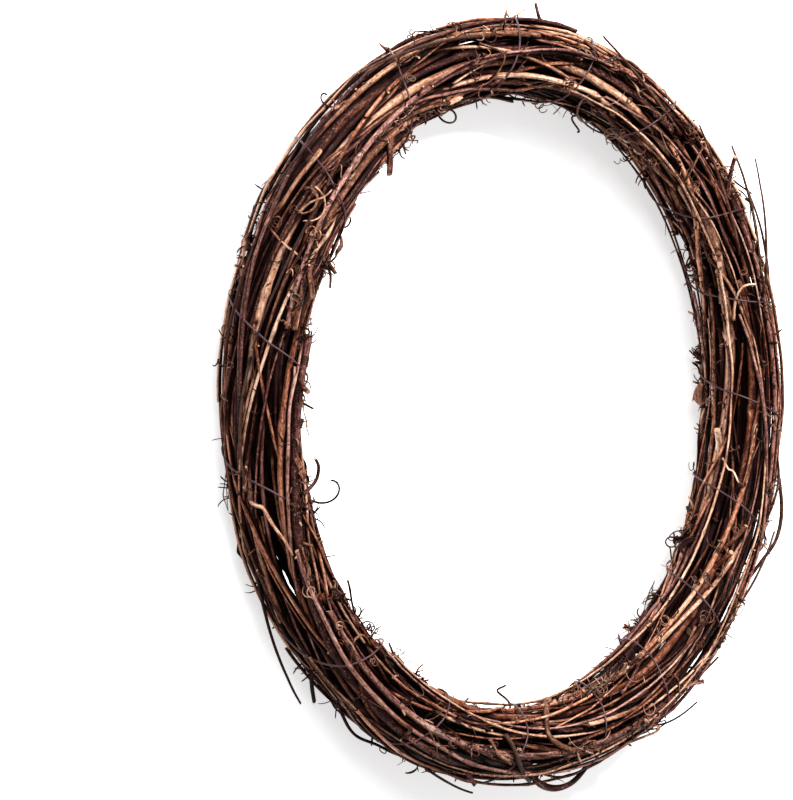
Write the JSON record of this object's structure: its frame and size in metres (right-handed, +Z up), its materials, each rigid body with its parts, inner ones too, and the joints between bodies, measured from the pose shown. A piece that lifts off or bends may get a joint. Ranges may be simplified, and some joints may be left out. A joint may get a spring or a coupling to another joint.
{
  "type": "grapevine wreath",
  "caption": "Round wreath of dried grapevine canes with side shoots and curled tendrils, bound by a thin wire wound round the bundle, lying flat.",
  "frame": {"origin": "on the surface that the wreath lies on, at the middle of its outline seen from above", "axes": "+Z is up, along the ring's axis, through its hole; the ring lies along X and Y"},
  "size_m": [0.308, 0.3096, 0.0444],
  "materials": {
    "bark_warm": "dried vine bark, streaked warm brown, stringy and satin",
    "bark_purple": "dried vine bark, dark purple-brown, stringy and dull",
    "bark_red": "dried young cane, reddish brown with pale specks, satin",
    "wire": "thin purple-brown coated wire, semi-gloss"
  },
  "bodies": {
    "root": {"thick_cane_1": "bark_warm", "thick_cane_2": "bark_purple", "thick_cane_3": "bark_red", "thick_cane_4": "bark_warm", "thick_cane_5": "bark_purple", "thick_cane_6": "bark_red", "thick_cane_7": "bark_warm", "middling_cane_1": "bark_purple", "middling_cane_2": "bark_red", "middling_cane_3": "bark_warm", "middling_cane_4": "bark_purple", "middling_cane_5": "bark_red", "middling_cane_6": "bark_warm", "middling_cane_7": "bark_purple", "middling_cane_8": "bark_red", "middling_cane_9": "bark_warm", "middling_cane_10": "bark_purple", "middling_cane_11": "bark_red", "middling_cane_12": "bark_warm", "middling_cane_13": "bark_purple", "middling_cane_14": "bark_red", "middling_cane_15": "bark_warm", "middling_cane_16": "bark_purple", "middling_cane_17": "bark_red", "middling_cane_18": "bark_warm", "middling_cane_19": "bark_purple", "middling_cane_20": "bark_red", "middling_cane_21": "bark_warm", "thin_cane_1": "bark_purple", "thin_cane_2": "bark_red", "thin_cane_3": "bark_warm", "thin_cane_4": "bark_purple", "thin_cane_5": "bark_red", "thin_cane_6": "bark_warm", "thin_cane_7": "bark_purple", "thin_cane_8": "bark_red", "thin_cane_9": "bark_warm", "thin_cane_10": "bark_purple", "thin_cane_11": "bark_red", "thin_cane_12": "bark_warm", "thin_cane_13": "bark_purple", "thin_cane_14": "bark_red", "thin_cane_15": "bark_warm", "thin_cane_16": "bark_purple", "thin_cane_17": "bark_red", "thin_cane_18": "bark_warm", "thin_cane_19": "bark_purple", "thin_cane_20": "bark_red", "thin_cane_21": "bark_warm", "thin_cane_22": "bark_purple", "thin_cane_23": "bark_red", "thin_cane_24": "bark_warm", "thin_cane_25": "bark_purple", "thin_cane_26": "bark_red", "thin_cane_27": "bark_warm", "thin_cane_28": "bark_purple", "thin_cane_29": "bark_red", "thin_cane_30": "bark_warm", "binding_wire": "wire"}
  },
  "joints": []
}
